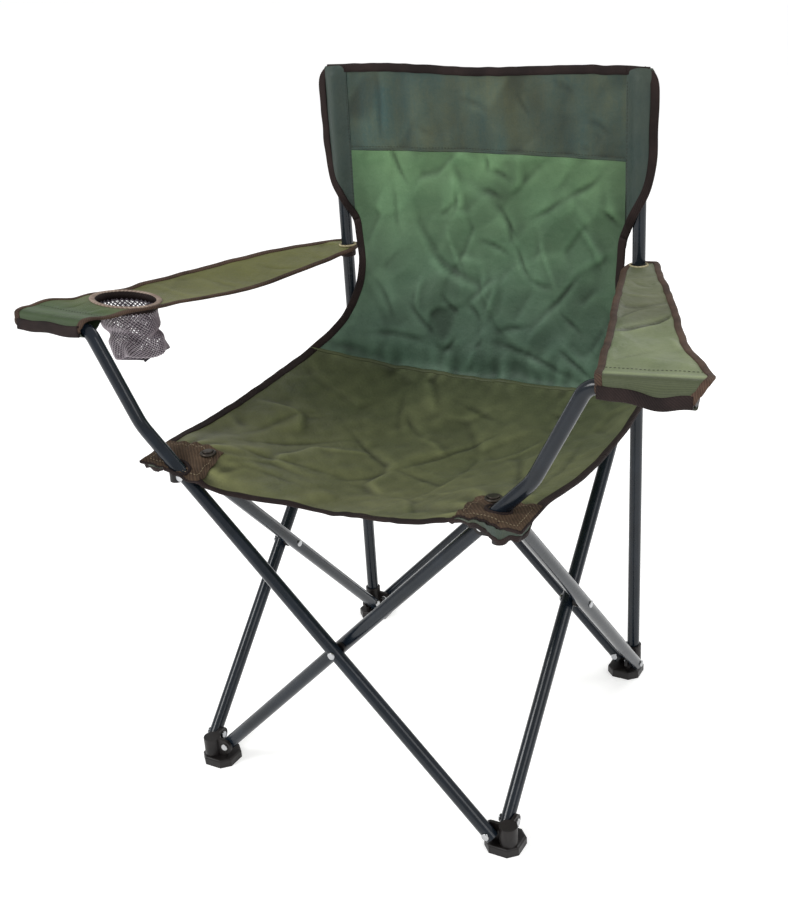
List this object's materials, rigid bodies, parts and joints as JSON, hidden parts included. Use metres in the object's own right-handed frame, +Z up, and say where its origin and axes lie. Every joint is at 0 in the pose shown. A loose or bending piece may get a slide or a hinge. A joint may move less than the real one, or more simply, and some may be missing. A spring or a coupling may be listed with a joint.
{
  "type": "folding camp chair",
  "caption": "Folding camp chair with crossed steel tube legs, a cloth sling seat and back on two rear posts, cloth arms and a net cup holder in one arm.",
  "frame": {"origin": "on the floor, at the centre of the square that the four feet make", "axes": "+Z up; the sitter faces -Y; the cup holder is on the -X arm"},
  "size_m": [0.824, 0.452, 0.8],
  "materials": {
    "tube": "gloss powder coat",
    "plastic": "moulded",
    "rivet": "bright",
    "seat_cloth": "coated weave",
    "back_cloth": "coated weave",
    "header_cloth": "double layer",
    "arm_cloth": "coated weave",
    "tape": "webbing",
    "net": "open mesh"
  },
  "bodies": {
    "rear_right_frame": {"rear_right_foot": "plastic", "right_post": "tube", "right_post_cap": "plastic", "right_arm_strap": "tape", "back_cloth": "back_cloth", "back_header": "header_cloth", "back_right_sleeve": "header_cloth"},
    "right_outer_leg": {"right_outer_tube": "tube", "right_outer_rivets": "rivet", "right_cross_rivet": "rivet", "right_cross_washer": "plastic"},
    "right_inner_leg": {"right_inner_tube": "tube", "right_inner_rivets": "rivet"},
    "front_right_base": {"front_right_foot": "plastic"},
    "right_slider": {"rear_right_slider": "plastic", "seat_cloth": "seat_cloth", "seat_left_patch": "tape", "seat_right_patch": "tape", "seat_right_rear_tab": "tape"},
    "right_hub": {"front_right_hub": "plastic", "seat_right_screw": "rivet"},
    "rear_inner_leg": {"rear_inner_tube": "tube", "rear_inner_rivets": "rivet"},
    "rear_outer_leg": {"rear_outer_tube": "tube", "rear_outer_rivets": "rivet", "rear_cross_rivet": "rivet", "rear_cross_washer": "plastic"},
    "rear_left_frame": {"rear_left_foot": "plastic", "left_post": "tube", "left_post_cap": "plastic", "left_arm_strap": "tape", "back_left_sleeve": "header_cloth"},
    "left_slider": {"rear_left_slider": "plastic", "seat_left_rear_tab": "tape"},
    "left_inner_leg": {"left_inner_tube": "tube", "left_inner_rivets": "rivet"},
    "left_outer_leg": {"left_outer_tube": "tube", "left_outer_rivets": "rivet", "left_cross_rivet": "rivet", "left_cross_washer": "plastic"},
    "front_left_base": {"front_left_foot": "plastic"},
    "left_hub": {"front_left_hub": "plastic", "seat_left_screw": "rivet"},
    "right_arm": {"right_arm_tube": "tube", "right_arm_rivets": "rivet", "right_arm_plug": "plastic", "right_arm_cloth": "arm_cloth"},
    "left_arm": {"left_arm_tube": "tube", "left_arm_rivets": "rivet", "front_cross_rivet": "rivet", "front_cross_washer": "plastic", "left_arm_plug": "plastic", "left_arm_cloth": "arm_cloth", "cup_ring": "tape", "cup_net": "net"}
  },
  "joints": [
    {"name": "fold", "type": "hinge", "parent": "rear_right_frame", "child": "right_outer_leg", "pos_m": [0.205, 0.185, 0.025], "axis": [-1, 0, 0], "range_deg": [0, 32], "deforming": ["seat_cloth", "seat_left_patch", "seat_right_patch", "back_cloth", "back_header", "right_arm_cloth", "left_arm_cloth"]},
    {"name": "right_cross", "type": "hinge", "parent": "right_outer_leg", "child": "right_inner_leg", "pos_m": [0.205, 0, 0.2145], "axis": [1, 0, 0], "range_deg": [0, 64]},
    {"name": "front_right_foot_pivot", "type": "hinge", "parent": "right_inner_leg", "child": "front_right_base", "pos_m": [0.205, -0.185, 0.025], "axis": [-1, 0, 0], "range_deg": [0, 32]},
    {"name": "right_slider_pivot", "type": "hinge", "parent": "right_inner_leg", "child": "right_slider", "pos_m": [0.205, 0.185, 0.404], "axis": [-1, 0, 0], "range_deg": [0, 32]},
    {"name": "right_hub_pivot", "type": "hinge", "parent": "right_outer_leg", "child": "right_hub", "pos_m": [0.205, -0.185, 0.404], "axis": [1, 0, 0], "range_deg": [0, 32]},
    {"name": "rear_fold", "type": "hinge", "parent": "rear_right_frame", "child": "rear_inner_leg", "pos_m": [0.185, 0.205, 0.025], "axis": [0, 1, 0], "range_deg": [0, 32]},
    {"name": "rear_cross", "type": "hinge", "parent": "rear_inner_leg", "child": "rear_outer_leg", "pos_m": [0, 0.205, 0.2145], "axis": [0, -1, 0], "range_deg": [0, 64]},
    {"name": "rear_left_foot_pivot", "type": "hinge", "parent": "rear_outer_leg", "child": "rear_left_frame", "pos_m": [-0.185, 0.205, 0.025], "axis": [0, 1, 0], "range_deg": [0, 32]},
    {"name": "left_slider_pivot", "type": "hinge", "parent": "rear_inner_leg", "child": "left_slider", "pos_m": [-0.185, 0.205, 0.404], "axis": [0, -1, 0], "range_deg": [0, 32]},
    {"name": "left_fold", "type": "hinge", "parent": "rear_left_frame", "child": "left_inner_leg", "pos_m": [-0.205, 0.185, 0.025], "axis": [-1, 0, 0], "range_deg": [0, 32]},
    {"name": "left_cross", "type": "hinge", "parent": "left_inner_leg", "child": "left_outer_leg", "pos_m": [-0.205, 0, 0.2145], "axis": [1, 0, 0], "range_deg": [0, 64]},
    {"name": "front_left_foot_pivot", "type": "hinge", "parent": "left_outer_leg", "child": "front_left_base", "pos_m": [-0.205, -0.185, 0.025], "axis": [-1, 0, 0], "range_deg": [0, 32]},
    {"name": "left_hub_pivot", "type": "hinge", "parent": "left_inner_leg", "child": "left_hub", "pos_m": [-0.205, -0.185, 0.404], "axis": [1, 0, 0], "range_deg": [0, 32]},
    {"name": "right_arm_fold", "type": "hinge", "parent": "front_left_base", "child": "right_arm", "pos_m": [-0.185, -0.205, 0.025], "axis": [0, -1, 0], "range_deg": [0, 32]},
    {"name": "left_arm_fold", "type": "hinge", "parent": "front_right_base", "child": "left_arm", "pos_m": [0.185, -0.205, 0.025], "axis": [0, 1, 0], "range_deg": [0, 32]}
  ],
  "couplings": [
    {"joint": "right_cross", "follows": "fold", "ratio": 2},
    {"joint": "front_right_foot_pivot", "follows": "fold", "ratio": 1},
    {"joint": "right_slider_pivot", "follows": "fold", "ratio": 1},
    {"joint": "right_hub_pivot", "follows": "fold", "ratio": 1},
    {"joint": "rear_fold", "follows": "fold", "ratio": 1},
    {"joint": "rear_cross", "follows": "fold", "ratio": 2},
    {"joint": "rear_left_foot_pivot", "follows": "fold", "ratio": 1},
    {"joint": "left_slider_pivot", "follows": "fold", "ratio": 1},
    {"joint": "left_fold", "follows": "fold", "ratio": 1},
    {"joint": "left_cross", "follows": "fold", "ratio": 2},
    {"joint": "front_left_foot_pivot", "follows": "fold", "ratio": 1},
    {"joint": "left_hub_pivot", "follows": "fold", "ratio": 1},
    {"joint": "right_arm_fold", "follows": "fold", "ratio": 1},
    {"joint": "left_arm_fold", "follows": "fold", "ratio": 1}
  ]
}
